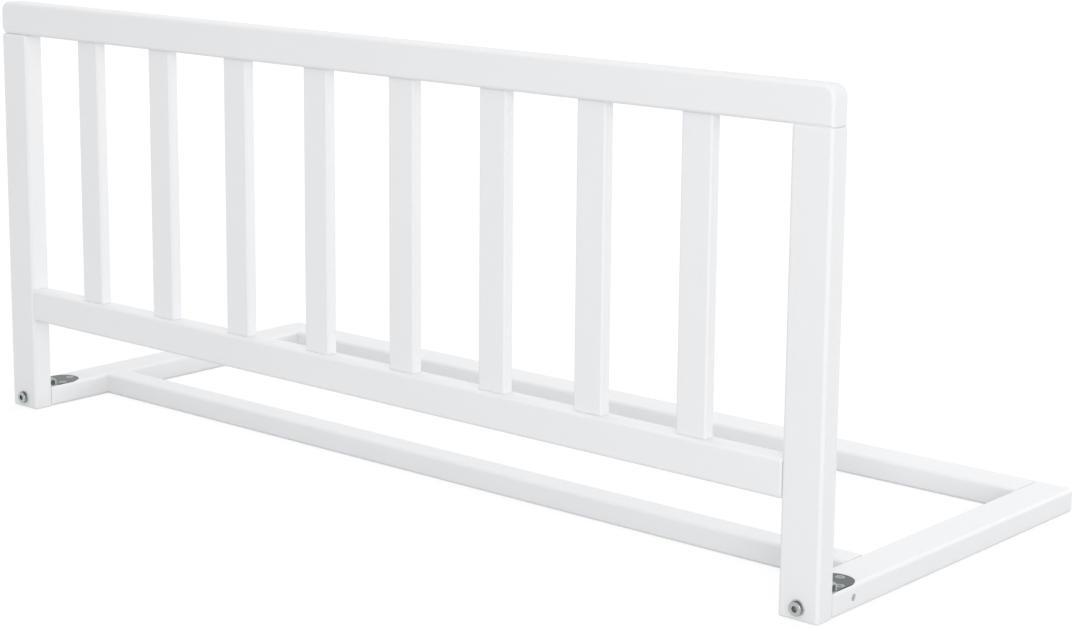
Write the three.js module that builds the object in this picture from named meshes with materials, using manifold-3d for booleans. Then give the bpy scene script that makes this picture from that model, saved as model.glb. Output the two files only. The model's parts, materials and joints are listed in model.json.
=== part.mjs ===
// Folding bed guard rail: a slatted wooden panel hinged to a flat wooden frame.
// The frame lies under the mattress, and the panel stands in front of it or folds down onto it.
// Millimetres, +Z up. X runs along the bed, and Y runs from the panel towards the back of the frame.

import * as THREE from 'three';
import { mergeVertices } from 'three/addons/utils/BufferGeometryUtils.js';
import Module from 'manifold-3d';

const wasm = await Module();
wasm.setup();

// Overall sizes
const railLength = 900; // over the outer sides of the posts
const panelHeight = 375; // floor to the top of the top rail
const baseDepth = 365; // front of the posts to the back of the frame

// Panel timber
const sideWidth = 34; // posts and arms, which are flush on both sides
const panelThickness = 18; // posts and rails
const railHeight = 29; // top rail and bottom rail
const bottomRailLift = 84; // floor to the underside of the bottom rail
const slatCount = 8;
const slatWidth = 27;
const slatThickness = 10;

// Frame timber
const baseThickness = 19; // arms and bars
const frontBarWidth = 24;
const frontBarSetback = 84; // front of the posts to the front of the front bar
const rearBarWidth = 34;

// Edges and corners of the timber
const edgeRadius = 3; // long edges of posts, rails, arms and bars
const slatEdgeRadius = 2;
const endSoftening = 1.5; // rounding round the sawn ends
const endCornerExtra = 1; // how much rounder the end corners of the top rail and the arms are
const railCornerRadius = 9; // upper corners of the top rail
const rearCornerRadius = 6; // outer corners at the back of the frame

// Tenons on the slats, and dowels in the other joints
const tenonDepth = 8;
const tenonShoulder = 4; // side of the slat to the side of its tenon
const tenonCheek = 2; // face of the slat to the face of its tenon
const dowelRadius = 3;
const dowelLength = 30;
const dowelPlaceShare = 0.24; // of the timber's width, each way from its middle

// Butt hinge in the corner behind each post, with round-ended leaves let in flush with the timber
const leafWidth = 31;
const leafReach = 37.5; // hinge axis to the leaf's round end
const leafThickness = 1.5;
const knuckleRadius = 4.25;
const middleKnuckleShare = 0.36; // of the leaf's width
const pinRadius = 2.5;
const pinProud = 0.5; // pin end past the outer knuckles
const pinClearance = 0.1;

// Countersunk screws that hold the leaves
const screwLength = 15;
const screwRadius = 2;
const screwHeadRadius = 3.75;
const screwRim = 0.25; // straight rim of the head
const screwTipLength = 3;
const recessWidth = 0.9; // cross recess in the head
const recessSpan = 4.4;
const recessDepth = 1.25;
const screwPlaceShares = [[-0.33, 0.41], [0.33, 0.41], [0, 0.84]]; // of the leaf's width and reach

// Lock bolt through the foot of each post, with its washer
const boltRadius = 3;
const boltHeadRadius = 5.25;
const boltHeadHeight = 3;
const boltChamfer = 0.5;
const boltReach = 6; // how far the shank enters the arm
const socketAcrossFlats = 5;
const socketDepth = 2;
const socketSides = 6;
const washerRadius = 6.25;
const washerThickness = 1;

// Sleeve nut in the end of each arm, and the pin that holds it from the arm's outer side
const boltPlay = 1; // between the bolt and the sleeve's bore
const sleeveWall = 1.5;
const sleeveBoreDepth = 9;
const sleeveToScrew = 2.75; // timber between the sleeve and the leaf's far screw
const crossPinRadius = 2.5;
const crossPinInset = 3; // back end of the sleeve to the pin's axis
const crossPinRecess = 1; // outer side of the arm to the pin's end
const crossPinGrip = 4; // how far the pin goes past the sleeve

// Fits
const clearance = 0.25; // round every piece that sits in or beside another
const overrun = 2; // how far a cutting shape runs past the face that it opens

// Fineness of the rounds
const edgeSteps = 2;
const cornerSteps = 3;
const rodSteps = 6;
const hingeSteps = 8;
const softeningSteps = 2;
const weldDistance = 1e-4;

// Sizes and places that follow from the ones above
const endCornerRadius = edgeRadius + endCornerExtra;
const postHeight = panelHeight - railHeight;
const cornerX = (railLength - sideWidth) / 2; // middle of each post and arm
const innerSpan = railLength - 2 * sideWidth; // between the posts, and between the arms
const slatBottom = bottomRailLift + railHeight;
const slatGap = (innerSpan - slatCount * slatWidth) / (slatCount + 1);
const slatPitch = slatWidth + slatGap;
const panelMiddleY = panelThickness / 2;
const armFrontY = panelThickness + clearance;
const armLength = baseDepth - armFrontY;
const frontBarMiddleY = frontBarSetback + frontBarWidth / 2;
const rearBarMiddleY = baseDepth - rearBarWidth / 2;
const baseMiddleZ = baseThickness / 2;
const axisOffset = knuckleRadius + clearance; // hinge axis from the floors that the leaves lie on
const hingeY = panelThickness - leafThickness + axisOffset;
const hingeZ = baseThickness - leafThickness + axisOffset;
const middleKnuckle = leafWidth * middleKnuckleShare;
const boltZ = baseMiddleZ;
const farScrewY = hingeY + leafReach * Math.max(...screwPlaceShares.map(([, y]) => y));
const sleeveBoreRadius = boltRadius + boltPlay;
const sleeveRadius = sleeveBoreRadius + sleeveWall;
const sleeveEndY = farScrewY - screwRadius - sleeveToScrew;
const sleeveLength = sleeveEndY - armFrontY;
const crossPinY = sleeveEndY - crossPinInset;
const boltFrontY = -(washerThickness + boltHeadHeight);
const middleOfDepth = (boltFrontY + baseDepth) / 2;

// Finishes
const finishes = {
  paint: { color: 0xe9ebee, roughness: 0.42, metalness: 0 },
  beech: { color: 0xcfae82, roughness: 0.7, metalness: 0 },
  hingeSteel: { color: 0x6f7478, roughness: 0.42, metalness: 0.85 },
  zinc: { color: 0xb9bfc0, roughness: 0.35, metalness: 0.9 },
};

// Directions
const right = new THREE.Vector3(1, 0, 0);
const back = new THREE.Vector3(0, 1, 0);
const up = new THREE.Vector3(0, 0, 1);
const at = (x, y, z) => new THREE.Vector3(x, y, z);

// A prism is drawn along +Z. These turns lay its length along X or Y.
const turns = {
  alongX: new THREE.Matrix4().makeBasis(back, up, right),
  alongY: new THREE.Matrix4().makeBasis(up, right, back),
  alongZ: new THREE.Matrix4(),
};

// Outlines
function roundedRectangle(width, height, radii) {
  const [lowLeft, lowRight, highRight, highLeft] = radii.length ? radii : [radii, radii, radii, radii];
  const x = width / 2;
  const y = height / 2;
  const quarter = Math.PI / 2;
  const outline = new THREE.Shape();
  outline.absarc(lowLeft - x, lowLeft - y, lowLeft, 2 * quarter, 3 * quarter);
  outline.absarc(x - lowRight, lowRight - y, lowRight, 3 * quarter, 4 * quarter);
  outline.absarc(x - highRight, y - highRight, highRight, 0, quarter);
  outline.absarc(highLeft - x, y - highLeft, highLeft, quarter, 2 * quarter);
  return outline;
}

function circle(radius) {
  return new THREE.Shape().absarc(0, 0, radius, 0, 2 * Math.PI);
}

function polygon(sides, acrossFlats) {
  const radius = acrossFlats / 2 / Math.cos(Math.PI / sides);
  const corners = Array.from({ length: sides }, (_, i) => {
    const angle = (2 * Math.PI * i) / sides;
    return new THREE.Vector2(radius * Math.cos(angle), radius * Math.sin(angle));
  });
  return new THREE.Shape(corners);
}

// Solids
function toSolid(geometry) {
  const bare = geometry.clone();
  bare.deleteAttribute('normal');
  bare.deleteAttribute('uv');
  const welded = mergeVertices(bare, weldDistance);
  const corners = welded.index.array;
  const triangles = [];
  for (let i = 0; i < corners.length; i += 3) {
    const [a, b, c] = corners.slice(i, i + 3);
    if (a !== b && b !== c && c !== a) triangles.push(a, b, c);
  }
  const vertProperties = Float32Array.from(welded.attributes.position.array);
  const triVerts = Uint32Array.from(triangles);
  return new wasm.Manifold(new wasm.Mesh({ numProp: 3, vertProperties, triVerts }));
}

function toGeometry(solid) {
  const mesh = solid.getMesh();
  const geometry = new THREE.BufferGeometry();
  geometry.setAttribute('position', new THREE.BufferAttribute(Float32Array.from(mesh.vertProperties), 3));
  geometry.setIndex(new THREE.BufferAttribute(Uint32Array.from(mesh.triVerts), 1));
  geometry.computeVertexNormals();
  return geometry;
}

function join(solids) {
  return solids.reduce((whole, solid) => whole.add(solid));
}

function cut(solid, tools) {
  return tools.reduce((rest, tool) => rest.subtract(tool), solid);
}

// A prism whose length is centred on a point
function prism(outline, length, middle, { turn = turns.alongZ, steps = edgeSteps, softening = 0 } = {}) {
  const geometry = new THREE.ExtrudeGeometry(outline, {
    depth: length - 2 * softening,
    curveSegments: steps,
    bevelEnabled: softening > 0,
    bevelThickness: softening,
    bevelSize: softening,
    bevelOffset: -softening,
    bevelSegments: softeningSteps,
  });
  geometry.translate(0, 0, softening - length / 2).applyMatrix4(turn);
  return toSolid(geometry.translate(middle.x, middle.y, middle.z));
}

function rod(radius, length, turn, middle, steps = rodSteps) {
  return prism(circle(radius), length, middle, { turn, steps });
}

function block(width, depth, height, middle) {
  return toSolid(new THREE.BoxGeometry(width, depth, height).translate(middle.x, middle.y, middle.z));
}

// A turned piece about Y, from a profile of radius and place along the axis
function turnedPiece(profile, steps) {
  return toSolid(new THREE.LatheGeometry(profile.map(([radius, y]) => new THREE.Vector2(radius, y)), steps));
}

function moved(solid, matrix) {
  return toSolid(toGeometry(solid).applyMatrix4(matrix));
}

// Two dowels side by side, or with play the two holes that they sit in
function dowels(middle, turn, spreadDirection, timberWidth, play = 0) {
  return [-1, 1].map((sign) => {
    const place = middle.clone().addScaledVector(spreadDirection, sign * timberWidth * dowelPlaceShare);
    return rod(dowelRadius + play, dowelLength + 2 * play, turn, place);
  });
}

// A hinge leaf and its screws are drawn about the hinge axis: the leaf runs along +Y and faces +Z.
const onArm = new THREE.Matrix4().makeTranslation(0, hingeY, hingeZ);
const onPost = onArm.clone().multiply(new THREE.Matrix4().makeBasis(right.clone().negate(), up, back));
const leafMiddleZ = leafThickness / 2 - axisOffset;
const screwPlaces = screwPlaceShares.map(([x, y]) => at(x * leafWidth, y * leafReach, leafThickness - axisOffset));
const screwUpright = new THREE.Matrix4().makeBasis(right, up, back.clone().negate());

function screw(place, play = 0) {
  const head = screwHeadRadius + play;
  const shank = screwRadius + play;
  const rim = screwRim + play;
  const tip = screwLength + play;
  const top = play > 0 ? overrun : 0;
  const profile = [
    [0, -tip],
    [shank, screwTipLength - tip],
    [shank, shank - head - rim],
    [head, -rim],
    [head, top],
    [0, top],
  ];
  const turnedScrew = moved(turnedPiece(profile, 2 * rodSteps), screwUpright);
  const shifted = new THREE.Matrix4().makeTranslation(place.x, place.y, place.z);
  return moved(turnedScrew, shifted);
}

function screws(matrix) {
  const recessHeight = recessDepth + overrun;
  return screwPlaces.map((place) => {
    const middle = at(place.x, place.y, place.z - recessDepth + recessHeight / 2);
    const finished = cut(screw(place), [
      block(recessSpan, recessWidth, recessHeight, middle),
      block(recessWidth, recessSpan, recessHeight, middle),
    ]);
    return moved(finished, matrix);
  });
}

function screwHoles(matrix) {
  return screwPlaces.map((place) => moved(screw(place, clearance), matrix));
}

function leaf(knuckleSpans) {
  const root = knuckleRadius + clearance; // where the plate clears the other leaf's knuckles
  const half = leafWidth / 2;
  const outline = new THREE.Shape();
  outline.moveTo(-half, root).lineTo(half, root);
  outline.absarc(0, leafReach - half, half, 0, Math.PI);
  const plate = prism(outline, leafThickness, at(0, 0, leafMiddleZ), { steps: hingeSteps });
  const knuckles = knuckleSpans.flatMap(([from, to]) => [
    block(to - from, root + overrun, leafThickness, at((from + to) / 2, (root + overrun) / 2, leafMiddleZ)),
    rod(knuckleRadius, to - from, turns.alongX, at((from + to) / 2, 0, 0), hingeSteps),
  ]);
  const pinHole = rod(pinRadius + pinClearance, leafWidth + 2 * overrun, turns.alongX, at(0, 0, 0), hingeSteps);
  const holes = screwPlaces.map((place) => screw(place, clearance));
  return cut(join([plate, ...knuckles]), [pinHole, ...holes]);
}

// The shallow housing that a leaf is let into, open at the corner of post and arm
function leafHousing(matrix) {
  const half = leafWidth / 2 + clearance;
  const height = leafThickness + overrun;
  const outline = new THREE.Shape();
  outline.moveTo(-half, -axisOffset).lineTo(half, -axisOffset);
  outline.absarc(0, leafReach - leafWidth / 2, half, 0, Math.PI);
  return moved(prism(outline, height, at(0, 0, height / 2 - axisOffset), { steps: hingeSteps }), matrix);
}

// Panel
function topRail() {
  const outline = roundedRectangle(railLength, railHeight, [
    endCornerRadius, endCornerRadius, railCornerRadius, railCornerRadius,
  ]);
  const turn = new THREE.Matrix4().makeBasis(right, up, back.clone().negate());
  const blank = prism(outline, panelThickness, at(0, panelMiddleY, panelHeight - railHeight / 2), {
    turn, steps: cornerSteps, softening: edgeRadius,
  });
  const dowelHoles = [-1, 1].flatMap((side) => postDowels(side * cornerX, clearance));
  return cut(blank, [...dowelHoles, ...mortises(postHeight)]);
}

function bottomRail() {
  const outline = roundedRectangle(panelThickness, railHeight, edgeRadius);
  const middle = at(0, panelMiddleY, slatBottom - railHeight / 2);
  const blank = prism(outline, innerSpan, middle, { turn: turns.alongX, softening: endSoftening });
  const dowelHoles = [-1, 1].flatMap((side) => bottomRailDowels(side * innerSpan / 2, clearance));
  return cut(blank, [...dowelHoles, ...mortises(slatBottom)]);
}

function postDowels(x, play) {
  return dowels(at(x, panelMiddleY, postHeight), turns.alongZ, right, sideWidth, play);
}

function bottomRailDowels(x, play) {
  return dowels(at(x, panelMiddleY, slatBottom - railHeight / 2), turns.alongX, up, railHeight, play);
}

function slatX(index) {
  return (index - (slatCount - 1) / 2) * slatPitch;
}

function tenonStock(length, middle, play = 0) {
  const width = slatWidth - 2 * tenonShoulder + 2 * play;
  const thickness = slatThickness - 2 * tenonCheek + 2 * play;
  return block(width, thickness, length + 2 * play, middle);
}

function mortises(faceZ) {
  return Array.from({ length: slatCount }, (_, i) => (
    tenonStock(2 * tenonDepth, at(slatX(i), panelMiddleY, faceZ), clearance)
  ));
}

function slat() {
  const length = postHeight - slatBottom;
  const middle = at(0, panelMiddleY, slatBottom + length / 2);
  const body = prism(roundedRectangle(slatWidth, slatThickness, slatEdgeRadius), length, middle);
  return body.add(tenonStock(length + 2 * tenonDepth, middle));
}

function post(inward) {
  const outline = roundedRectangle(sideWidth, panelThickness, edgeRadius);
  const blank = prism(outline, postHeight, at(0, panelMiddleY, postHeight / 2), { softening: endSoftening });
  const boltHole = rod(boltRadius + clearance, panelThickness + 2 * overrun, turns.alongY, at(0, panelMiddleY, boltZ));
  return cut(blank, [
    boltHole,
    leafHousing(onPost),
    ...screwHoles(onPost),
    ...postDowels(0, clearance),
    ...bottomRailDowels(inward * sideWidth / 2, clearance),
  ]);
}

// Frame
function arm(inward) {
  const rearCorners = inward > 0 ? [endCornerRadius, rearCornerRadius] : [rearCornerRadius, endCornerRadius];
  const outline = roundedRectangle(sideWidth, armLength, [endCornerRadius, endCornerRadius, ...rearCorners]);
  const blank = prism(outline, baseThickness, at(0, armFrontY + armLength / 2, baseMiddleZ), {
    steps: cornerSteps, softening: edgeRadius,
  });
  const sleeveHoleLength = sleeveLength + clearance + overrun;
  const sleeveHoleY = armFrontY - overrun + sleeveHoleLength / 2;
  return cut(blank, [
    rod(sleeveRadius + clearance, sleeveHoleLength, turns.alongY, at(0, sleeveHoleY, boltZ)),
    crossPin(inward, clearance, crossPinRecess + overrun),
    leafHousing(onArm),
    ...screwHoles(onArm),
    ...barDowels(inward * sideWidth / 2, frontBarMiddleY, frontBarWidth, clearance),
    ...barDowels(inward * sideWidth / 2, rearBarMiddleY, rearBarWidth, clearance),
  ]);
}

function barDowels(x, y, width, play) {
  return dowels(at(x, y, baseMiddleZ), turns.alongX, back, width, play);
}

function bar(width, middleY) {
  const outline = roundedRectangle(width, baseThickness, edgeRadius);
  const middle = at(0, middleY, baseMiddleZ);
  const blank = prism(outline, innerSpan, middle, { turn: turns.alongX, softening: endSoftening });
  return cut(blank, [-1, 1].flatMap((side) => barDowels(side * innerSpan / 2, middleY, width, clearance)));
}

// Sleeve nut and its cross pin
function crossPin(inward, play = 0, past = 0) {
  const outerEnd = sideWidth / 2 - crossPinRecess + past;
  const innerEnd = -(sleeveRadius + crossPinGrip + play);
  const middleX = -inward * (outerEnd + innerEnd) / 2;
  return rod(crossPinRadius + play, outerEnd - innerEnd, turns.alongX, at(middleX, crossPinY, boltZ));
}

function sleeve() {
  const body = rod(sleeveRadius, sleeveLength, turns.alongY, at(0, armFrontY + sleeveLength / 2, boltZ));
  const bore = rod(sleeveBoreRadius, 2 * sleeveBoreDepth, turns.alongY, at(0, armFrontY, boltZ));
  const crossHole = rod(crossPinRadius + clearance, 2 * (sleeveRadius + overrun), turns.alongX, at(0, crossPinY, boltZ));
  return cut(body, [bore, crossHole]);
}

// Lock bolt and washer
function bolt() {
  const seatY = -washerThickness;
  const tipY = armFrontY + boltReach;
  const profile = [
    [0, boltFrontY],
    [boltHeadRadius - boltChamfer, boltFrontY],
    [boltHeadRadius, boltFrontY + boltChamfer],
    [boltHeadRadius, seatY],
    [boltRadius, seatY],
    [boltRadius, tipY - boltChamfer],
    [boltRadius - boltChamfer, tipY],
    [0, tipY],
  ];
  const socket = prism(polygon(socketSides, socketAcrossFlats), 2 * socketDepth, at(0, boltFrontY, 0), {
    turn: turns.alongY,
  });
  return cut(turnedPiece(profile, 2 * hingeSteps), [socket]).translate(0, 0, boltZ);
}

function washer() {
  const outline = circle(washerRadius);
  outline.holes.push(new THREE.Path().absarc(0, 0, boltRadius + clearance, 0, 2 * Math.PI, true));
  return prism(outline, washerThickness, at(0, -washerThickness / 2, boltZ), { turn: turns.alongY, steps: hingeSteps });
}

// Assembly
function addPieces(group, name, solids, finish) {
  solids.forEach((solid, i) => addPiece(group, `${name}_${i + 1}`, solid, finish));
}

function addPiece(group, name, solid, finish) {
  const mesh = new THREE.Mesh(toGeometry(solid), new THREE.MeshStandardMaterial(finishes[finish]));
  mesh.name = name;
  group.add(mesh);
  return mesh;
}

const guardRail = new THREE.Group();
const panel = new THREE.Group();
const frame = new THREE.Group();
guardRail.add(panel, frame);
guardRail.position.y = -middleOfDepth;

addPiece(panel, 'top_rail', topRail(), 'paint');
addPiece(panel, 'bottom_rail', bottomRail(), 'paint');
for (let i = 0; i < slatCount; i += 1) {
  addPiece(panel, `slat_${i + 1}`, slat(), 'paint').position.x = slatX(i);
}
addPiece(frame, 'front_bar', bar(frontBarWidth, frontBarMiddleY), 'paint');
addPiece(frame, 'rear_bar', bar(rearBarWidth, rearBarMiddleY), 'paint');

const outerKnuckle = middleKnuckle / 2 + clearance;
const armKnuckles = [[-leafWidth / 2, -outerKnuckle], [outerKnuckle, leafWidth / 2]];
const postKnuckles = [[-middleKnuckle / 2, middleKnuckle / 2]];

for (const side of [-1, 1]) {
  const inward = -side;
  const name = side < 0 ? 'left' : 'right';
  const panelCorner = new THREE.Group();
  const frameCorner = new THREE.Group();
  panelCorner.position.x = side * cornerX;
  frameCorner.position.x = side * cornerX;
  panel.add(panelCorner);
  frame.add(frameCorner);

  addPiece(panelCorner, `${name}_post`, post(inward), 'paint');
  addPieces(panelCorner, `${name}_post_dowel`, postDowels(0), 'beech');
  addPieces(panelCorner, `${name}_bottom_rail_dowel`, bottomRailDowels(inward * sideWidth / 2), 'beech');
  addPiece(panelCorner, `${name}_post_leaf`, moved(leaf(postKnuckles), onPost), 'hingeSteel');
  addPieces(panelCorner, `${name}_post_leaf_screw`, screws(onPost), 'zinc');
  addPiece(panelCorner, `${name}_lock_bolt`, bolt(), 'zinc');
  addPiece(panelCorner, `${name}_lock_washer`, washer(), 'zinc');

  addPiece(frameCorner, `${name}_arm`, arm(inward), 'paint');
  const armInnerX = inward * sideWidth / 2;
  addPieces(frameCorner, `${name}_front_bar_dowel`, barDowels(armInnerX, frontBarMiddleY, frontBarWidth), 'beech');
  addPieces(frameCorner, `${name}_rear_bar_dowel`, barDowels(armInnerX, rearBarMiddleY, rearBarWidth), 'beech');
  addPiece(frameCorner, `${name}_arm_leaf`, moved(leaf(armKnuckles), onArm), 'hingeSteel');
  addPieces(frameCorner, `${name}_arm_leaf_screw`, screws(onArm), 'zinc');
  const pinLength = leafWidth + 2 * pinProud;
  const pin = rod(pinRadius, pinLength, turns.alongX, at(0, hingeY, hingeZ), hingeSteps);
  addPiece(frameCorner, `${name}_hinge_pin`, pin, 'hingeSteel');
  addPiece(frameCorner, `${name}_sleeve_nut`, sleeve(), 'zinc');
  addPiece(frameCorner, `${name}_cross_pin`, crossPin(inward), 'zinc');
}

export default guardRail;
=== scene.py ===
import json
import math

import bmesh
import bpy
from mathutils import Matrix, Vector


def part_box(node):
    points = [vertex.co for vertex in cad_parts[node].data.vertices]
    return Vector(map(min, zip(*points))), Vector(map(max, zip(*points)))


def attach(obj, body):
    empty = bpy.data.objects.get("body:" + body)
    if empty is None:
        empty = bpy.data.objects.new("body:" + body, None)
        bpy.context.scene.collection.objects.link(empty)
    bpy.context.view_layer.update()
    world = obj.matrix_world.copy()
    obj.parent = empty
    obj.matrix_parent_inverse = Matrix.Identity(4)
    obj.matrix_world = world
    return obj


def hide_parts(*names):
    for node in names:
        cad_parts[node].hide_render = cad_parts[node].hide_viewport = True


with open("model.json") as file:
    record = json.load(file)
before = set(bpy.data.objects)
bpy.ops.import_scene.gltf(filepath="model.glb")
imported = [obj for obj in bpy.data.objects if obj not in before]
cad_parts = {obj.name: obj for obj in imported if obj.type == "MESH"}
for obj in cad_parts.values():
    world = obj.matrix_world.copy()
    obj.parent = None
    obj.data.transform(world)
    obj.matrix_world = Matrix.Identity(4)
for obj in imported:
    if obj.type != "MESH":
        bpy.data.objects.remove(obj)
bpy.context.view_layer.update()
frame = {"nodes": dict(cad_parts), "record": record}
bodies = frame["record"]["behaviour"]["bodies"]
bodyOf = {node: body for body, nodes in bodies.items() for node in nodes}
sides = ("left", "right")
mm = 0.001  # the scene is in metres
plainWhite = (1, 1, 1, 1)


# Camera, at the photograph's viewing angle
cameraView = {
    "eye": Vector((1.3167, -1.4882, 0.5599)),
    "target": Vector((0.0365, 0.0039, 0.1929)),
    "rollDegrees": 0.54,
    "lens": 78.97,
    "sensor": 36.0,
    "shiftY": -0.0699,
}


# Turns a camera or a lamp from one place towards another
def aimed(place, target):
    aim = (target - place).to_track_quat("-Z", "Y").to_matrix().to_4x4()
    return Matrix.Translation(place) @ aim


def makeCamera(view):
    data = bpy.data.cameras.new("camera")
    data.lens = view["lens"]
    data.sensor_width = view["sensor"]
    data.shift_y = view["shiftY"]
    camera = bpy.data.objects.new("camera", data)
    roll = Matrix.Rotation(math.radians(view["rollDegrees"]), 4, "Z")
    camera.matrix_world = aimed(view["eye"], view["target"]) @ roll
    bpy.context.scene.collection.objects.link(camera)
    bpy.context.scene.camera = camera


makeCamera(cameraView)


# Lamps and world
lampSet = {
    "key": {"place": (2.6, -1.9, 2.4), "aim": (0.1, 0, 0.15), "size": 2.6, "power": 18},
    "front": {"place": (2.2, -2.4, 0.9), "aim": (0.1, 0, 0.2), "size": 1.6, "power": 23},
    "back": {"place": (0.6, 1.4, 0.38), "aim": (-0.2, -0.1, 0.15), "size": 0.6, "power": 5.6},
    "top": {"place": (-0.9, 0.7, 2.2), "aim": (-0.2, 0.1, 0), "size": 1.8, "power": 8.5},
}
worldLight = {"color": (0.97, 0.985, 1.0, 1.0), "strength": 0.775}


def makeLamps(lamps):
    for name, lamp in lamps.items():
        data = bpy.data.lights.new(name + "Lamp", "AREA")
        data.shape = "SQUARE"
        data.size = lamp["size"]
        data.energy = lamp["power"]
        piece = bpy.data.objects.new(name + "Lamp", data)
        piece.matrix_world = aimed(Vector(lamp["place"]), Vector(lamp["aim"]))
        piece.visible_camera = False
        bpy.context.scene.collection.objects.link(piece)


# One output socket of a node tree, so that shader sums can be written as Python
class Flow:
    def __init__(self, socket):
        self.socket = socket

    def sum(self, operation, first, second):
        tree = self.socket.id_data
        node = tree.nodes.new("ShaderNodeMath")
        node.operation = operation
        for slot, value in zip(node.inputs, (first, second)):
            if isinstance(value, Flow):
                tree.links.new(value.socket, slot)
            else:
                slot.default_value = value
        return Flow(node.outputs[0])

    def __add__(self, other):
        return self.sum("ADD", self, other)

    def __radd__(self, other):
        return self.sum("ADD", other, self)

    def __sub__(self, other):
        return self.sum("SUBTRACT", self, other)

    def __rsub__(self, other):
        return self.sum("SUBTRACT", other, self)

    def __mul__(self, other):
        return self.sum("MULTIPLY", self, other)

    def __rmul__(self, other):
        return self.sum("MULTIPLY", other, self)


# A node tree being filled: any node comes from its add method
class Nodes:
    def __init__(self, owner):
        owner.use_nodes = True
        self.tree = owner.node_tree
        self.tree.nodes.clear()

    def add(self, kind, settings=None, inputs=None, output=0):
        node = self.tree.nodes.new(kind)
        for name, value in (settings or {}).items():
            if name == "stops":
                ramp = node.color_ramp
                while len(ramp.elements) < len(value):
                    ramp.elements.new(0.5)
                for element, (position, color) in zip(ramp.elements, value):
                    element.position = position
                    element.color = color
            else:
                setattr(node, name, value)
        for name, value in (inputs or {}).items():
            slot = node.inputs[name]
            if isinstance(value, Flow):
                self.tree.links.new(value.socket, slot)
            else:
                slot.default_value = value
        return Flow(node.outputs[output]) if len(node.outputs) else None

    def mix(self, factor, first, second):
        settings = {"data_type": "RGBA"}
        return self.add("ShaderNodeMix", settings, {0: factor, 6: first, 7: second}, 2)

    # Object coordinates, drawn out along one axis where a factor is given
    def stretched(self, axis=0, factor=1.0):
        scale = [1.0, 1.0, 1.0]
        scale[axis] = factor
        place = self.add("ShaderNodeTexCoord", output="Object")
        return self.add("ShaderNodeVectorMath", {"operation": "MULTIPLY"}, {0: place, 1: scale})

    def noise(self, vector, scale, detail=3.0, rough=0.5):
        inputs = {"Vector": vector, "Scale": scale, "Detail": detail, "Roughness": rough}
        return self.add("ShaderNodeTexNoise", None, inputs, "Fac")

    def bump(self, height, strength, distance, under=None):
        inputs = {"Height": height, "Strength": strength, "Distance": distance}
        if under:
            inputs["Normal"] = under
        return self.add("ShaderNodeBump", None, inputs)

    # 1 on rays from the camera, also by way of metal or glass, and 0 on rays that light the object
    def seen(self):
        direct = self.add("ShaderNodeLightPath", output="Is Camera Ray")
        paths = direct.socket.node.outputs
        glossy, through = Flow(paths["Is Glossy Ray"]), Flow(paths["Is Transmission Ray"])
        return self.add("ShaderNodeMath", {"operation": "MAXIMUM"}, {0: direct + glossy, 1: through})

    # Closes a material with one shader for its whole surface
    def surface(self, inputs):
        shader = self.add("ShaderNodeBsdfPrincipled", None, inputs)
        self.add("ShaderNodeOutputMaterial", None, {"Surface": shader})


def makeWorld(light):
    world = bpy.data.worlds.new("studio")
    bpy.context.scene.world = world
    nodes = Nodes(world)
    lit = nodes.add("ShaderNodeBackground", None, {
        "Color": light["color"], "Strength": light["strength"],
    })
    white = nodes.add("ShaderNodeBackground", None, {"Color": plainWhite, "Strength": 1.0})
    both = nodes.add("ShaderNodeMixShader", None, {0: nodes.seen(), 1: lit, 2: white})
    nodes.add("ShaderNodeOutputWorld", None, {"Surface": both})


# Floor: plain white to the camera, with a part of the real shadow left in it round the object,
# which fades out between two distances from its middle; it throws less light back up
floorLook = {
    "radius": 40.0,
    "segments": 64,
    "shadowShare": 0.24,
    "shadowNear": 0.9,
    "shadowFar": 2.2,
    "color": (0.92, 0.92, 0.92, 1),
    "bounceColor": (0.7, 0.7, 0.7, 1),
    "glow": 1.05,
}


def makeFloor(look):
    mesh = bpy.data.meshes.new("floor")
    build = bmesh.new()
    bmesh.ops.create_circle(build, cap_ends=True, radius=look["radius"], segments=look["segments"])
    build.to_mesh(mesh)
    build.free()
    floor = bpy.data.objects.new("floor", mesh)
    bpy.context.scene.collection.objects.link(floor)
    material = bpy.data.materials.new("floorWhite")
    nodes = Nodes(material)
    matt = nodes.add("ShaderNodeBsdfDiffuse", None, {"Color": look["color"]})
    glow = nodes.add("ShaderNodeEmission", None, {"Color": plainWhite, "Strength": look["glow"]})
    place = nodes.add("ShaderNodeTexCoord", output="Object")
    reach = nodes.add("ShaderNodeVectorMath", {"operation": "LENGTH"}, {0: place}, "Value")
    share = nodes.add("ShaderNodeMapRange", None, {
        "Value": reach, "From Min": look["shadowNear"], "From Max": look["shadowFar"],
        "To Min": look["shadowShare"], "To Max": 0.0,
    })
    shown = nodes.add("ShaderNodeMixShader", None, {0: 1 - share, 1: matt, 2: glow})
    bounce = nodes.add("ShaderNodeBsdfDiffuse", None, {"Color": look["bounceColor"]})
    both = nodes.add("ShaderNodeMixShader", None, {0: nodes.seen(), 1: bounce, 2: shown})
    nodes.add("ShaderNodeOutputMaterial", None, {"Surface": both})
    mesh.materials.append(material)


makeLamps(lampSet)
makeWorld(worldLight)
makeFloor(floorLook)
print("stage: camera, lamps, world, floor")


# Satin paint over planed timber, with the grain along one axis of the frame
paintLook = {
    "color": (0.862, 0.867, 0.878, 1),
    "thin": (0.812, 0.817, 0.825, 1),
    "thinByGrain": 0.35,
    "thinByCloud": 0.45,
    "roughness": 0.58,
    "roughnessSpread": 0.12,
    "grainScale": 260.0,
    "grainStretch": 0.035,
    "grainHeight": 0.14 * mm,
    "cloudScale": 9.0,
    "peelScale": 1400.0,
    "peelHeight": 0.02 * mm,
    "bumpStrength": 0.6,
}


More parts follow.
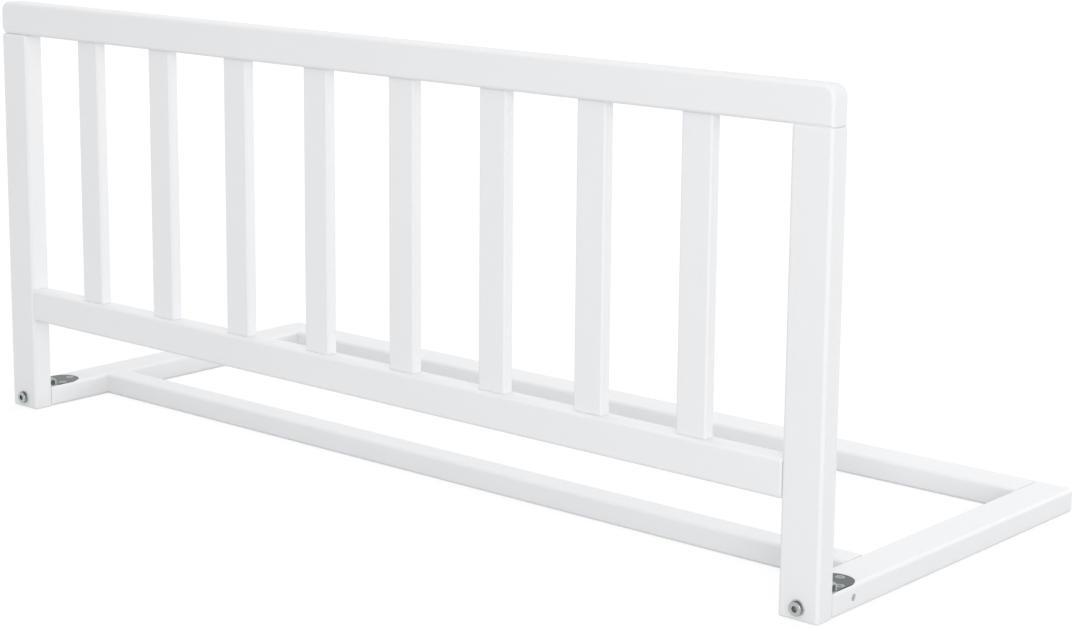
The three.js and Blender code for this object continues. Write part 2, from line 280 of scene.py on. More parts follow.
def paintMaterial(axis, look):
    material = bpy.data.materials.new("satinPaint" + "XYZ"[axis])
    nodes = Nodes(material)
    along, plain = nodes.stretched(axis, look["grainStretch"]), nodes.stretched()
    grain = nodes.noise(along, look["grainScale"], detail=5.0, rough=0.6)
    cloud = nodes.noise(plain, look["cloudScale"], detail=2.0)
    peel = nodes.noise(plain, look["peelScale"], detail=2.0)
    thinness = grain * look["thinByGrain"] + cloud * look["thinByCloud"]
    ripple = nodes.bump(grain, look["bumpStrength"], look["grainHeight"])
    nodes.surface({
        "Base Color": nodes.mix(thinness, look["color"], look["thin"]),
        "Roughness": look["roughness"] - look["roughnessSpread"] / 2 + look["roughnessSpread"] * cloud,
        "Normal": nodes.bump(peel, look["bumpStrength"], look["peelHeight"], ripple),
    })
    return material


# Bare beech of the dowels, with short dark pores along the grain
beechLook = {
    "light": (0.68, 0.5, 0.31, 1),
    "dark": (0.5, 0.33, 0.18, 1),
    "roughness": 0.66,
    "grainScale": 900.0,
    "grainStretch": 0.06,
    "grainHeight": 0.05 * mm,
    "bumpStrength": 0.5,
}


def beechMaterial(axis, look):
    material = bpy.data.materials.new("beech" + "XYZ"[axis])
    nodes = Nodes(material)
    along = nodes.stretched(axis, look["grainStretch"])
    grain = nodes.noise(along, look["grainScale"], detail=4.0, rough=0.6)
    nodes.surface({
        "Base Color": nodes.mix(grain, look["light"], look["dark"]),
        "Roughness": look["roughness"],
        "Normal": nodes.bump(grain, look["bumpStrength"], look["grainHeight"]),
    })
    return material


# Plated steel: dark on the hinge leaves and pins, with a lighter steel on the leaves' barrels as a painted
# reflection, dull on their screws, bright on bolts, sleeve nuts and cross pins, with a darker steel in the
# bolts' sockets as painted shade, hazed on the washers
steelLooks = {
    "hingeSteel": {
        "color": (0.046, 0.053, 0.057, 1), "worn": (0.155, 0.174, 0.18, 1), "roughness": 0.34,
    },
    # Painted reflection: a lighter steel for the leaves' barrels
    "barrelReflectionSteel": {"color": (0.3, 0.32, 0.32, 1), "worn": (0.56, 0.58, 0.58, 1), "roughness": 0.34},
    "screwSteel": {"color": (0.2, 0.22, 0.22, 1), "worn": (0.46, 0.49, 0.48, 1), "roughness": 0.3},
    "zincSteel": {"color": (0.4, 0.43, 0.43, 1), "worn": (0.5, 0.53, 0.52, 1), "roughness": 0.28},
    # Painted shade: a darker steel for the inside of the bolts' sockets
    "socketShadeSteel": {"color": (0.17, 0.19, 0.185, 1), "worn": (0.27, 0.29, 0.28, 1), "roughness": 0.4},
    "hazedZinc": {"color": (0.56, 0.58, 0.58, 1), "worn": (0.68, 0.7, 0.7, 1), "roughness": 0.5},
}
# Plating spangle and fine scuffs, alike on all of them
steelWear = {
    "spangleScale": 420.0,
    "wornBySpangle": 0.6,
    "scuffScale": 1500.0,
    "scuffStretch": 0.15,
    "scuffHeight": 0.03 * mm,
    "wornByScuffs": 0.4,
    "bumpStrength": 0.35,
    "roughnessDrop": 0.08,
    "roughnessSpread": 0.2,
}


def steelMaterial(name, look, wear):
    material = bpy.data.materials.new(name)
    nodes = Nodes(material)
    spangle = nodes.noise(nodes.stretched(), wear["spangleScale"], detail=3.0, rough=0.6)
    scuffs = nodes.noise(nodes.stretched(1, wear["scuffStretch"]), wear["scuffScale"], detail=4.0, rough=0.7)
    worn = spangle * wear["wornBySpangle"] + scuffs * wear["wornByScuffs"]
    nodes.surface({
        "Base Color": nodes.mix(worn, look["color"], look["worn"]),
        "Metallic": 1.0,
        "Roughness": look["roughness"] - wear["roughnessDrop"] + wear["roughnessSpread"] * spangle,
        "Normal": nodes.bump(scuffs, wear["bumpStrength"], wear["scuffHeight"]),
    })
    return material


# Knurled side of a bolt head: painted shade on its upper half, darker upwards and in blotches
knurlLook = {
    "unshaded": (0.36, 0.385, 0.38, 1),
    "paintedShade": (0.16, 0.18, 0.175, 1),
    "unshadedTo": 0.42,
    "paintedShadeFrom": 0.8,
    "shadeAtAxis": 0.4,
    "shadeByHeight": 0.5,
    "shadeByBlotch": 0.2,
    "blotchScale": 900.0,
    "roughness": 0.4,
    "roughnessDrop": 0.1,
    "roughnessSpread": 0.2,
}


def knurlMaterial(name, look, axisHeight, headRadius):
    material = bpy.data.materials.new(name)
    nodes = Nodes(material)
    place = nodes.add("ShaderNodeTexCoord", output="Object")
    height = nodes.add("ShaderNodeSeparateXYZ", None, {"Vector": place}, "Z")
    blotch = nodes.noise(place, look["blotchScale"], detail=3.0, rough=0.6)
    # Painted shade: the side darkens up the head, with blotches
    rise = (height - axisHeight) * (look["shadeByHeight"] / headRadius)
    shade = rise + look["shadeAtAxis"] + look["shadeByBlotch"] * blotch
    stops = [(look["unshadedTo"], look["unshaded"]), (look["paintedShadeFrom"], look["paintedShade"])]
    nodes.surface({
        "Base Color": nodes.add("ShaderNodeValToRGB", {"stops": stops}, {"Fac": shade}),
        "Metallic": 1.0,
        "Roughness": look["roughness"] - look["roughnessDrop"] + look["roughnessSpread"] * blotch,
    })
    return material


paints = [paintMaterial(axis, paintLook) for axis in range(3)]
beeches = [beechMaterial(axis, beechLook) for axis in range(3)]
steels = {name: steelMaterial(name, look, steelWear) for name, look in steelLooks.items()}
print("finishes:", len(bpy.data.materials))


# How the pieces fit: play round let-in pieces, how far cutting tools stand proud, and the smallest
# radius and gap that a corner may have in them
fits = {
    "play": 0.25 * mm,
    "overrun": 2 * mm,
    "sharpCorner": 0.01 * mm,
    "hair": 0.001 * mm,
    "boreSegments": 36,
}


# Closed meshes from loops of points
def loft(loops, ring=False):
    build = bmesh.new()
    rows = [[build.verts.new(point) for point in loop] for loop in loops]
    pairs = list(zip(rows, rows[1:])) + ([(rows[-1], rows[0])] if ring else [])
    for low, high in pairs:
        count = len(low)
        for i in range(count):
            j = (i + 1) % count
            build.faces.new((low[i], low[j], high[j], high[i]))
    if not ring:
        build.faces.new(list(reversed(rows[0])))
        build.faces.new(rows[-1])
    return build


# Outline of a rectangle with a radius for each corner, drawn in by an inset
def roundedOutline(low, high, radii, inset, steps):
    points = []
    for corner, radius in enumerate(radii):
        atHighU = corner in (1, 2)
        atHighV = corner in (2, 3)
        core = max(radius, inset + fits["hair"])  # stays open where the inset is the larger
        u = high[0] - core if atHighU else low[0] + core
        v = high[1] - core if atHighV else low[1] + core
        for k in range(steps + 1):
            angle = math.radians(180 + 90 * corner + 90 * k / steps)
            points.append((u + (core - inset) * math.cos(angle), v + (core - inset) * math.sin(angle)))
    return points


def placed(run, along, u, v):
    point = [0.0, 0.0, 0.0]
    point[run], point[(run + 1) % 3], point[(run + 2) % 3] = along, u, v
    return point


# Insets and rises of an end that is rounded over
def roundedEnd(softening, steps):
    turns = [math.pi / 2 * k / steps for k in range(steps + 1)] if softening else [math.pi / 2]
    return [(softening * (1 - math.sin(turn)), softening * (1 - math.cos(turn))) for turn in turns]


# A block with rounded corners round its run axis; its two ends are softened alike, or as a pair says
def softBlock(low, high, run, radii, softening, steps):
    u, v = (run + 1) % 3, (run + 2) % 3
    first, last = softening if isinstance(softening, tuple) else (softening, softening)
    stations = [(low[run] + rise, inset) for inset, rise in roundedEnd(first, steps)]
    stations += [(high[run] - rise, inset) for inset, rise in reversed(roundedEnd(last, steps))]
    loops = []
    for along, inset in stations:
        outline = roundedOutline((low[u], low[v]), (high[u], high[v]), radii, inset, steps)
        loops.append([placed(run, along, *point) for point in outline])
    return loft(loops)


# A loop about Z at one height, from its radius at each step round
def loopRound(height, radii):
    turns = [2 * math.pi * k / len(radii) for k in range(len(radii))]
    return [(radius * math.cos(turn), radius * math.sin(turn), height) for radius, turn in zip(radii, turns)]


# A turned piece about Z, from a profile of (radius, height) that runs up its outside
def lathe(profile, segments, ring=False):
    return loft([loopRound(height, [radius] * segments) for radius, height in profile], ring)


# Loops up a thread; the radius comes from the place within one pitch, 0 to 1, and from the height
def threadLoops(start, end, pitch, stepsPerPitch, segments, radiusAt):
    steps = int((end - start) / (pitch / stepsPerPitch))
    loops = []
    for i in range(steps + 1):
        height = start + (end - start) * i / steps
        phases = [(height / pitch - k / segments) % 1 for k in range(segments)]
        loops.append(loopRound(height, [radiusAt(phase, height) for phase in phases]))
    return loops


def moved(build, matrix):
    bmesh.ops.transform(build, matrix=matrix, verts=build.verts)
    return build


def joined(builds):
    whole = bmesh.new()
    for build in builds:
        mesh = bpy.data.meshes.new("joining")
        build.to_mesh(mesh)
        build.free()
        whole.from_mesh(mesh)
        bpy.data.meshes.remove(mesh)
    return whole


def asObject(build, name):
    bmesh.ops.recalc_face_normals(build, faces=build.faces)
    mesh = bpy.data.meshes.new(name)
    build.to_mesh(mesh)
    build.free()
    piece = bpy.data.objects.new(name, mesh)
    bpy.context.scene.collection.objects.link(piece)
    return piece


def volumeOf(mesh):
    build = bmesh.new()
    build.from_mesh(mesh)
    volume = build.calc_volume()
    build.free()
    return volume


keptVolume = {"least": 0.6, "most": 1.6}


# Cuts a piece with a tool, or joins the tool to it; a cut that goes wrong stops the script
def combine(piece, tool, operation="DIFFERENCE"):
    other = asObject(tool, "tool")
    modifier = piece.modifiers.new("combine", "BOOLEAN")
    modifier.operation = operation
    modifier.solver = "EXACT"
    modifier.object = other
    bpy.context.view_layer.update()
    result = bpy.data.meshes.new_from_object(piece.evaluated_get(bpy.context.evaluated_depsgraph_get()))
    piece.modifiers.clear()
    old, used = piece.data, other.data
    kept = volumeOf(result) / volumeOf(old)
    if not keptVolume["least"] < kept < keptVolume["most"]:
        raise RuntimeError(f"{piece.name}: {operation} left {kept:.2f} of its volume")
    piece.data = result
    bpy.data.objects.remove(other)
    bpy.data.meshes.remove(used)
    bpy.data.meshes.remove(old)
    result.name = piece.name


shading = {"sharpDegrees": 40.0}


# Gives a finished piece its shading, material and body, and hides the node that it replaces
def finishPiece(piece, node, material):
    mesh = piece.data
    mesh.materials.clear()
    mesh.materials.append(material)
    for face in mesh.polygons:
        face.use_smooth = True
    mesh.set_sharp_from_angle(angle=math.radians(shading["sharpDegrees"]))
    weighted = piece.modifiers.new("weighted", "WEIGHTED_NORMAL")
    weighted.keep_sharp = True
    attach(piece, bodyOf[node])
    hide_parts(node)


# Gives some faces of a finished piece a finish of their own
def finishFaces(piece, slot, material, indices):
    piece.data.materials.append(material)
    for index in indices:
        piece.data.polygons[index].material_index = slot


def middleOf(node):
    low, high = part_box(node)
    return (low + high) / 2


def longestAxis(low, high):
    size = high - low
    return max(range(3), key=lambda axis: size[axis])


# Lays a piece that is drawn about Z along one axis, in the middle of a box
def laidAlong(axis, low, high):
    turns = (Matrix.Rotation(math.pi / 2, 4, "Y"), Matrix.Rotation(-math.pi / 2, 4, "X"), Matrix())
    return Matrix.Translation((low + high) / 2) @ turns[axis]


# Sets a piece that is drawn upwards about Z at the front of a box, or before it, running back along Y
def fromFront(low, high, before=0.0):
    place = Vector(((low.x + high.x) / 2, low.y - before, (low.z + high.z) / 2))
    return Matrix.Translation(place) @ Matrix.Rotation(-math.pi / 2, 4, "X")


# Round bore for a rod-shaped piece, with play all round; it may run past either end
def boreFor(node, past=(0.0, 0.0)):
    low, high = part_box(node)
    run = longestAxis(low, high)
    radius = min(high - low) / 2 + fits["play"]
    half = (high - low)[run] / 2 + fits["play"]
    build = lathe([(radius, -half - past[0]), (radius, half + past[1])], fits["boreSegments"])
    return moved(build, laidAlong(run, low, high))


# Hinge, drawn about its axis: X along the pin, the leaf runs along +Y and lies at the bottom
hinge = {
    "leafWidth": 31 * mm,
    "leafReach": 37.5 * mm,
    "thickness": 1.5 * mm,
    "offset": 4.5 * mm,
    "rootCorner": 0.4 * mm,
    "edge": 0.25 * mm,
    "tipSteps": 14,
    "knuckleRadius": 4.25 * mm,
    "curlInner": 2.6 * mm,
    "curlEndDegrees": -38,
    "curlSteps": 44,
    "tailInLeaf": 0.6 * mm,
    "tailBottom": 1.2 * mm,
    "tailTop": 2.4 * mm,
    "middleShare": 0.36,
    "screwShares": ((-0.33, 0.41), (0.33, 0.41), (0.0, 0.84)),
}
hingePin = {
    "dome": 0.45 * mm,
    "shoulderRise": 0.25,
    "shoulderShare": 0.75,
    "faceShare": 0.35,
    "segments": 32,
}


def hingeMatrices(side):
    onArm = Matrix.Translation(middleOf(side + "_hinge_pin"))
    swap = Matrix(((-1, 0, 0, 0), (0, 0, 1, 0), (0, 1, 0, 0), (0, 0, 0, 1)))
    return {"arm": onArm, "post": onArm @ swap}


def screwPlaces():
    width, reach, top = hinge["leafWidth"], hinge["leafReach"], hinge["thickness"] - hinge["offset"]
    return [Vector((x * width, y * reach, top)) for x, y in hinge["screwShares"]]


# Countersunk screw of a leaf, with its head's face at height 0; the cross recess narrows downwards, and
# its floor and mouth are given as shares of its span and width
screwShape = {
    "length": 15 * mm,
    "shank": 2 * mm,
    "core": 1.35 * mm,
    "head": 3.75 * mm,
    "rim": 0.25 * mm,
    "rimEase": 0.1 * mm,
    "rimEaseHeight": 0.08 * mm,
    "dishRim": 0.6 * mm,
    "dish": 0.048 * mm,
    "collar": 1 * mm,
    "collarShare": 0.93,
    "tip": 3 * mm,
    "tipShare": 0.12,
    "pitch": 1.5 * mm,
    "ridgeSlope": 4,
    "threadEnd": 1.2 * mm,
    "stepsPerPitch": 6,
    "segments": 28,
    "recessSpan": 4.4 * mm,
    "recessWidth": 0.9 * mm,
    "recessDepth": 1.25 * mm,
    "recessFloor": (0.55, 0.6),
    "recessMouth": (1.35, 1.25),
    "turnsDegrees": (12, 71, -33, 48, -64, 25),
    "holeTipShare": 0.3,
    "holeSegments": 40,
}


def screwHole():
    s, play = screwShape, fits["play"]
    head, shank = s["head"] + play, s["shank"] + play
    return lathe([
        (s["core"] * s["holeTipShare"], -s["length"] - play),
        (shank, s["tip"] - s["length"] - play),
        (shank, shank - head - s["rim"] - play),
        (head, -s["rim"] - play),
        (head, fits["overrun"]),
    ], s["holeSegments"])


def screwBody():
    s = screwShape
    neck = s["shank"] - s["head"] - s["rim"]
    collar = s["shank"] * s["collarShare"]

    def radiusAt(phase, height):
        ridge = max(0.0, 1 - abs(phase - 0.5) * s["ridgeSlope"])
        taper = min(1.0, s["tipShare"] + (height + s["length"]) / s["tip"])
        return (s["core"] + (s["shank"] - s["core"]) * ridge) * taper

    loops = threadLoops(-s["length"], neck - s["threadEnd"], s["pitch"], s["stepsPerPitch"],
                        s["segments"], radiusAt)
    upper = [
        (collar, neck - s["collar"]),
        (collar, neck),
        (s["head"], -s["rim"]),
        (s["head"], -s["rimEaseHeight"]),
        (s["head"] - s["rimEase"], 0.0),
        (s["head"] - s["dishRim"], -s["dish"]),
    ]
    return loft(loops + [loopRound(height, [radius] * s["segments"]) for radius, height in upper])


def recessWings():
    s = screwShape
    wings = []
    for turn in (0, math.pi / 2):
        loops = []
        for height, shares in ((-s["recessDepth"], s["recessFloor"]), (fits["overrun"], s["recessMouth"])):
            x, y = s["recessSpan"] / 2 * shares[0], s["recessWidth"] / 2 * shares[1]
            loops.append([(-x, -y, height), (x, -y, height), (x, y, height), (-x, y, height)])
        wings.append(moved(loft(loops), Matrix.Rotation(turn, 4, "Z")))
    return wings


def makeScrew(name, node, place, matrix, turnDegrees):
    piece = asObject(screwBody(), name)
    for wing in recessWings():
        combine(piece, wing)
    turned = Matrix.Rotation(math.radians(turnDegrees), 4, "Z")
    piece.data.transform(matrix @ Matrix.Translation(place) @ turned)
    finishPiece(piece, node, steels["screwSteel"])


# The shallow housing in the timber that a leaf is let into
def leafHousing(matrix):
    half = hinge["leafWidth"] / 2 + fits["play"]
    top = hinge["thickness"] - hinge["offset"] + fits["overrun"]
    low = (-half, -hinge["offset"], -hinge["offset"])
    high = (half, hinge["leafReach"] + fits["play"], top)
    radii = (fits["sharpCorner"], fits["sharpCorner"], half - fits["hair"], half - fits["hair"])
    return moved(softBlock(low, high, 2, radii, 0, hinge["tipSteps"]), matrix)


def arc(radius, turns):
    return [(radius * math.cos(turn), radius * math.sin(turn)) for turn in turns]


# One knuckle, rolled from the leaf's own sheet round the pin
def knuckle(low, high):
    bottom, top = -hinge["offset"], hinge["thickness"] - hinge["offset"]
    tail = hinge["knuckleRadius"] + fits["play"] + hinge["tailInLeaf"]
    start, end, steps = -90.0, -360.0 + hinge["curlEndDegrees"], hinge["curlSteps"]
    turns = [math.radians(start + (end - start) * k / steps) for k in range(steps + 1)]
    section = [(tail, bottom), (hinge["tailBottom"], bottom)]
    section += arc(hinge["knuckleRadius"], turns) + arc(hinge["curlInner"], reversed(turns))
    section += [(hinge["tailTop"], top), (tail, top)]
    return loft([[(x, y, z) for y, z in section] for x in (low, high)])


def makeLeaf(name, node, matrix, spans):
    half = hinge["leafWidth"] / 2
    low = (-half, hinge["knuckleRadius"] + fits["play"], -hinge["offset"])
    high = (half, hinge["leafReach"], hinge["thickness"] - hinge["offset"])
    radii = (hinge["rootCorner"], hinge["rootCorner"], half - fits["hair"], half - fits["hair"])
    piece = asObject(softBlock(low, high, 2, radii, hinge["edge"], hinge["tipSteps"]), name)
    for start, end in spans:
        combine(piece, knuckle(start, end), "UNION")
    for place in screwPlaces():
        combine(piece, moved(screwHole(), Matrix.Translation(place)))
    barrel = hinge["knuckleRadius"] + fits["play"] / 2
    onBarrel = [face.index for face in piece.data.polygons if face.center.yz.length < barrel]
    piece.data.transform(matrix)
    finishPiece(piece, node, steels["hingeSteel"])
    # The barrels take the lighter steel, a painted reflection
    finishFaces(piece, 1, steels["barrelReflectionSteel"], onBarrel)


def makePin(name, node):
    p = hingePin
    low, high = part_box(node)
    radius, half = (high.z - low.z) / 2, (high.x - low.x) / 2
    profile = [
        (radius * p["faceShare"], -half),
        (radius * p["shoulderShare"], p["dome"] * p["shoulderRise"] - half),
        (radius, p["dome"] - half),
    ]
    profile += [(r, -height) for r, height in reversed(profile)]
    piece = asObject(moved(lathe(profile, p["segments"]), laidAlong(0, low, high)), name)
    finishPiece(piece, node, steels["hingeSteel"])


def makeHinges():
    half = hinge["leafWidth"] / 2
    middle = hinge["leafWidth"] * hinge["middleShare"] / 2
    spans = {
        "arm": ((-half, -middle - fits["play"]), (middle + fits["play"], half)),
        "post": ((-middle, middle),),
    }
    turns = screwShape["turnsDegrees"]
    for side in sides:
        for part, matrix in hingeMatrices(side).items():
            name, node = side + part.title(), f"{side}_{part}_leaf"
            makeLeaf(name + "Leaf", node, matrix, spans[part])
            first = 3 * (part == "post") + (side == "right")
            for i, place in enumerate(screwPlaces()):
                turn = turns[(first + i) % len(turns)]
                makeScrew(f"{name}Screw{i + 1}", f"{node}_screw_{i + 1}", place, matrix, turn)
        makePin(side + "HingePin", side + "_hinge_pin")


makeHinges()
print("hinges: leaves, pins, screws")


# Lock bolt, drawn up from the face of its head, with a hexagon socket and a real thread
lockBolt = {
    "headRadius": 5.25 * mm,
    "headHeight": 3 * mm,
    "rounding": 0.9 * mm,
    "roundingSteps": 5,
    "rimEase": 0.1 * mm,
    "knurls": 48,
    "knurlDepth": 0.14 * mm,
    "knurlStart": 0.15 * mm,
    "knurlStop": 0.25 * mm,
    "knurlFinishFrom": 0.4,
    "shank": 3 * mm,
    "neckShare": 0.95,
    "neckLength": 1.2 * mm,
    "root": 2.45 * mm,
    "pitch": 1 * mm,
    "stepsPerPitch": 8,
    "threadStart": 0.1 * mm,
    "endTaper": 0.8 * mm,
    "endShare": 0.8,
    "socketFlats": 4.4 * mm,
    "socketDepth": 1.7 * mm,
    "socketProud": 1 * mm,
    "socketMargin": 0.1 * mm,
}
knurledSteel = knurlMaterial(
    "knurledSteel", knurlLook, middleOf("left_lock_bolt").z, lockBolt["headRadius"])


def makeBolt(name, node):
    b = lockBolt
    low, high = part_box(node)
    length = high.y - low.y
    side, under, neck = b["headRadius"], b["headHeight"], b["shank"] * b["neckShare"]
    profile = [(side - inset, rise, 0) for inset, rise in roundedEnd(b["rounding"], b["roundingSteps"])]
    profile += [
        (side, b["rounding"] + b["knurlStart"], b["knurlDepth"]),
        (side, under - b["knurlStop"], b["knurlDepth"]),
        (side - b["rimEase"], under, 0),
        (neck, under, 0),
        (neck, under + b["neckLength"], 0),
    ]

    def radiusAt(phase, height):
        taper = min(1.0, b["endShare"] + (1 - b["endShare"]) * (length - height) / b["endTaper"])
        return (b["root"] + (b["shank"] - b["root"]) * abs(phase - 0.5) * 2) * taper

    loops = [loopRound(height, [radius, radius - knurl] * b["knurls"]) for radius, height, knurl in profile]
    loops += threadLoops(under + b["neckLength"] + b["threadStart"], length, b["pitch"],
                         b["stepsPerPitch"], 2 * b["knurls"], radiusAt)
    piece = asObject(loft(loops), name)
    across = b["socketFlats"] / math.sqrt(3)
    socket = [loopRound(height, [across] * 6) for height in (-b["socketProud"], b["socketDepth"])]
    combine(piece, loft(socket))
    inSocket, onSide = [], []
    for face in piece.data.polygons:
        out, height = face.center.xy.length, face.center.z
        if out < across and b["socketMargin"] < height < b["socketDepth"] + b["socketMargin"]:
            inSocket.append(face.index)
        elif out > side - 2 * b["knurlDepth"] and b["rounding"] * b["knurlFinishFrom"] < height < under:
            onSide.append(face.index)
    piece.data.transform(fromFront(low, high))
    finishPiece(piece, node, steels["zincSteel"])
    # Painted shade on the upper half of the knurled side
    finishFaces(piece, 1, knurledSteel, onSide)
    # Painted shade inside the socket
    finishFaces(piece, 2, steels["socketShadeSteel"], inSocket)


washer = {"edge": 0.18 * mm, "segments": 48}


def makeWasher(name, node):
    low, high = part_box(node)
    outer, inner = (high.x - low.x) / 2, lockBolt["shank"] + fits["play"]
    edge, thick = washer["edge"], high.y - low.y
    profile = [
        (inner, edge), (inner + edge, 0), (outer - edge, 0), (outer, edge),
        (outer, thick - edge), (outer - edge, thick), (inner + edge, thick), (inner, thick - edge),
    ]
    build = moved(lathe(profile, washer["segments"], ring=True), fromFront(low, high))
    finishPiece(asObject(build, name), node, steels["hazedZinc"])


# Sleeve nut in the end of the arm, with the cross pin that holds it
sleeveNut = {"bore": 4 * mm, "boreDepth": 9 * mm, "chamfer": 0.5 * mm, "segments": 40}
crossPin = {"chamfer": 0.4 * mm, "segments": 32}


def makeSleeve(name, node, pinNode):
    low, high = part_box(node)
    radius, length = (high.x - low.x) / 2, high.y - low.y
    bore, c, segments = sleeveNut["bore"], sleeveNut["chamfer"], sleeveNut["segments"]
    outside = [(radius - c, 0.0), (radius, c), (radius, length - c), (radius - c, length)]
    piece = asObject(lathe(outside, segments), name)
    combine(piece, lathe([(bore + c, -c), (bore, c), (bore, sleeveNut["boreDepth"])], segments))
    piece.data.transform(fromFront(low, high))
    combine(piece, boreFor(pinNode))
    finishPiece(piece, node, steels["zincSteel"])


def makeCrossPin(name, node):
    low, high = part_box(node)
    radius, half, c = (high.z - low.z) / 2, (high.x - low.x) / 2, crossPin["chamfer"]
    profile = [(radius - c, -half), (radius, c - half), (radius, half - c), (radius - c, half)]
    build = moved(lathe(profile, crossPin["segments"]), laidAlong(0, low, high))
    finishPiece(asObject(build, name), node, steels["zincSteel"])


for side in sides:
    makeBolt(side + "LockBolt", side + "_lock_bolt")
    makeWasher(side + "LockWasher", side + "_lock_washer")
    makeSleeve(side + "SleeveNut", side + "_sleeve_nut", side + "_cross_pin")
    makeCrossPin(side + "CrossPin", side + "_cross_pin")
print("lock bolts, washers, sleeve nuts, cross pins")


# Timber: edge radii, end corners, joints, and the bores that run past a face
timber = {
    "edge": 3 * mm,
    "slatEdge": 2 * mm,
    "endSoftening": 1.5 * mm,
    "jointSoftening": 0.6 * mm,
    "jointEdge": 1.6 * mm,
    "shoulderEdge": 0.4 * mm,
    "railLandInset": {"left": 2.2 * mm, "right": 1.3 * mm},
    "railEndShare": 0.75,
    "armLandInset": 0.5 * mm,
    "landHeight": 5 * mm,
    "endCorner": 4 * mm,
    "rearCorner": 6 * mm,
    "railCorner": 9 * mm,
    "railLowCorners": {"left": 6.5 * mm, "right": 1.4 * mm},
    "postTops": {"left": 2.2 * mm, "right": 1.5 * mm},
    "tenonDepth": 8 * mm,
    "tenonShoulder": 4 * mm,
    "tenonCheek": 2 * mm,
    "tenonCorner": 0.3 * mm,
    "boltHoleLength": 40 * mm,
    "boltHoleProud": 1 * mm,
    "borePast": 3 * mm,
    "steps": 7,
}
slatNodes = [node for node in frame["nodes"] if node.startswith("slat_")]


def leafSeat(side, part):
    matrix = hingeMatrices(side)[part]
    holes = [moved(screwHole(), matrix @ Matrix.Translation(place)) for place in screwPlaces()]
    return [leafHousing(matrix)] + holes


def dowelHoles(*stems):
    return [boreFor(f"{stem}_dowel_{i}") for stem in stems for i in (1, 2)]


# Way through a post for the lock bolt
def boltHole(side):
    radius = lockBolt["shank"] + fits["play"]
    build = lathe([(radius, 0), (radius, timber["boltHoleLength"])], fits["boreSegments"])
    return moved(build, fromFront(*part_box(side + "_lock_bolt"), timber["boltHoleProud"]))


def mortises(atTop):
    depth, play = timber["tenonDepth"], fits["play"]
    inset = Vector((timber["tenonShoulder"] - play, timber["tenonCheek"] - play, 0))
    tools = []
    for node in slatNodes:
        low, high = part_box(node)
        first, last = low + inset, high - inset
        if atTop:
            first.z, last.z = high.z - 2 * depth, high.z + play
        else:
            first.z, last.z = low.z - play, low.z + 2 * depth
        tools.append(softBlock(first, last, 2, (fits["sharpCorner"],) * 4, 0, 1))
    return tools


# Tools that may meet each other come late and cut one by one
def makeTimber(name, node, run, radii, softening, tools, lateTools=(), added=()):
    low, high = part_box(node)
    piece = asObject(softBlock(low, high, run, radii, softening, timber["steps"]), name)
    for build in added:
        combine(piece, build, "UNION")
    combine(piece, joined(tools))
    for tool in lateTools:
        combine(piece, tool)
    finishPiece(piece, node, paints[longestAxis(low, high)])


def makeSlat(name, node):
    low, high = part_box(node)
    depth, ease, steps = timber["tenonDepth"], timber["shoulderEdge"], timber["steps"]
    edges, corners = (timber["slatEdge"],) * 4, (timber["tenonCorner"],) * 4
    inner = Vector((timber["tenonShoulder"], timber["tenonCheek"], 0))
    body = roundedOutline(low, high, edges, 0, steps)
    eased = roundedOutline(low, high, edges, ease, steps)
    tenon = roundedOutline(low + inner, high - inner, corners, 0, steps)
    lower = [(tenon, 0), (tenon, depth), (eased, depth), (body, depth + ease)]
    stations = [(outline, low.z + rise) for outline, rise in lower]
    stations += [(outline, high.z - rise) for outline, rise in reversed(lower)]
    piece = asObject(loft([[(x, y, z) for x, y in outline] for outline, z in stations]), name)
    finishPiece(piece, node, paints[2])


# Where timber meets timber the rounded edges stop short, so that the joint is almost flush
def jointLand(low, high, run, inset):
    first, last = low + Vector((inset,) * 3), high - Vector((inset,) * 3)
    first[run], last[run] = low[run], high[run]
    return softBlock(first, last, run, (timber["jointEdge"],) * 4, 0, timber["steps"])


def railLand(side):
    low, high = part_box(side + "_post")
    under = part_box("top_rail")[0].z
    low.z, high.z = under, under + timber["landHeight"]
    inset = timber["railLandInset"][side]
    spare = timber["railLowCorners"][side] * timber["railEndShare"] - inset
    if side == "left":
        low.x += spare
    else:
        high.x -= spare
    return jointLand(low, high, 2, inset)


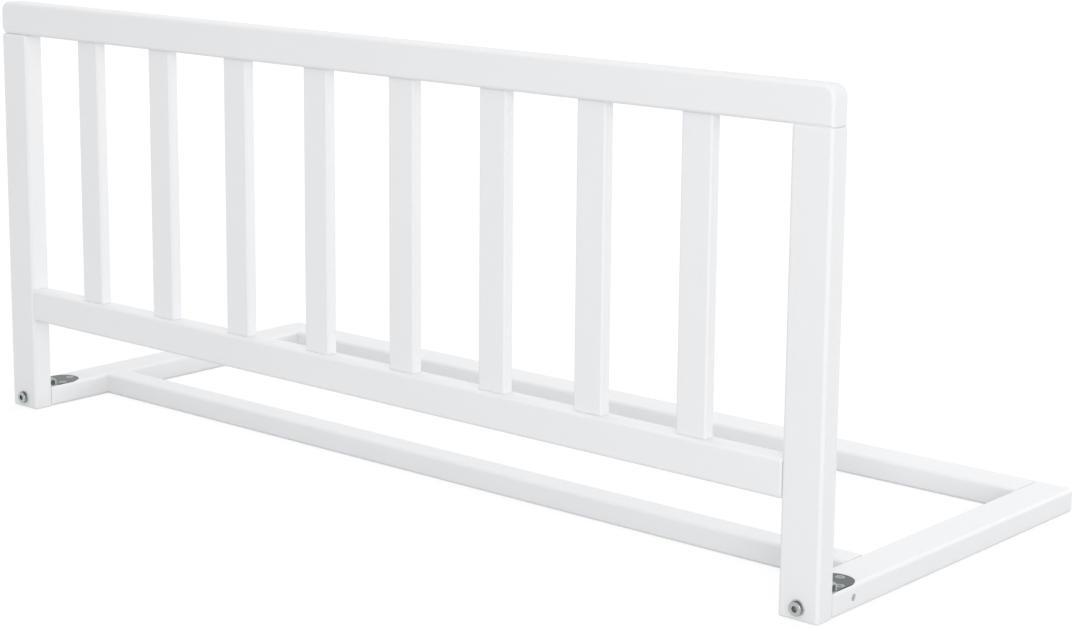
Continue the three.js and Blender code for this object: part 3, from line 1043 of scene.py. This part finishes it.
def armLand(side):
    low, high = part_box(side + "_arm")
    high.y = low.y + timber["landHeight"]
    return jointLand(low, high, 1, timber["armLandInset"])


def makePanel():
    t = timber
    lowCorners = t["railLowCorners"]
    railCorners = (lowCorners["left"], t["railCorner"], t["railCorner"], lowCorners["right"])
    makeTimber("topRail", "top_rail", 1, railCorners, t["edge"],
               dowelHoles("left_post", "right_post") + mortises(True),
               added=[railLand(side) for side in sides])
    makeTimber("bottomRail", "bottom_rail", 0, (t["edge"],) * 4, t["endSoftening"],
               dowelHoles("left_bottom_rail", "right_bottom_rail") + mortises(False))
    postEdges = (t["edge"], t["edge"], t["jointEdge"], t["jointEdge"])
    for side in sides:
        makeTimber(side + "Post", side + "_post", 2, postEdges, (t["endSoftening"], t["postTops"][side]),
                   dowelHoles(side + "_post", side + "_bottom_rail"),
                   [boltHole(side)] + leafSeat(side, "post"))
    for i, node in enumerate(slatNodes):
        makeSlat(f"slat{i + 1}", node)


def makeBase():
    t = timber
    for side in sides:
        rear, pinPast = (t["endCorner"], t["rearCorner"]), (t["borePast"], 0.0)
        if side == "right":
            rear, pinPast = rear[::-1], pinPast[::-1]
        makeTimber(side + "Arm", side + "_arm", 2, (t["endCorner"],) * 2 + rear, t["edge"],
                   dowelHoles(side + "_front_bar", side + "_rear_bar"),
                   [boreFor(side + "_sleeve_nut", (t["borePast"], 0.0)),
                    boreFor(side + "_cross_pin", pinPast)] + leafSeat(side, "arm"),
                   [armLand(side)])
    for bar in ("front", "rear"):
        makeTimber(bar + "Bar", bar + "_bar", 0, (t["edge"],) * 4, t["jointSoftening"],
                   dowelHoles(f"left_{bar}_bar", f"right_{bar}_bar"))


makePanel()
makeBase()
print("timber:", len(slatNodes), "slats, rails, posts, arms, bars")


# The dowels keep their shape from the frame
for node, piece in frame["nodes"].items():
    if "dowel" in node:
        piece.data.materials.clear()
        piece.data.materials.append(beeches[longestAxis(*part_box(node))])
print("dowels finished in beech")

bpy.context.scene.view_settings.view_transform = "Standard"
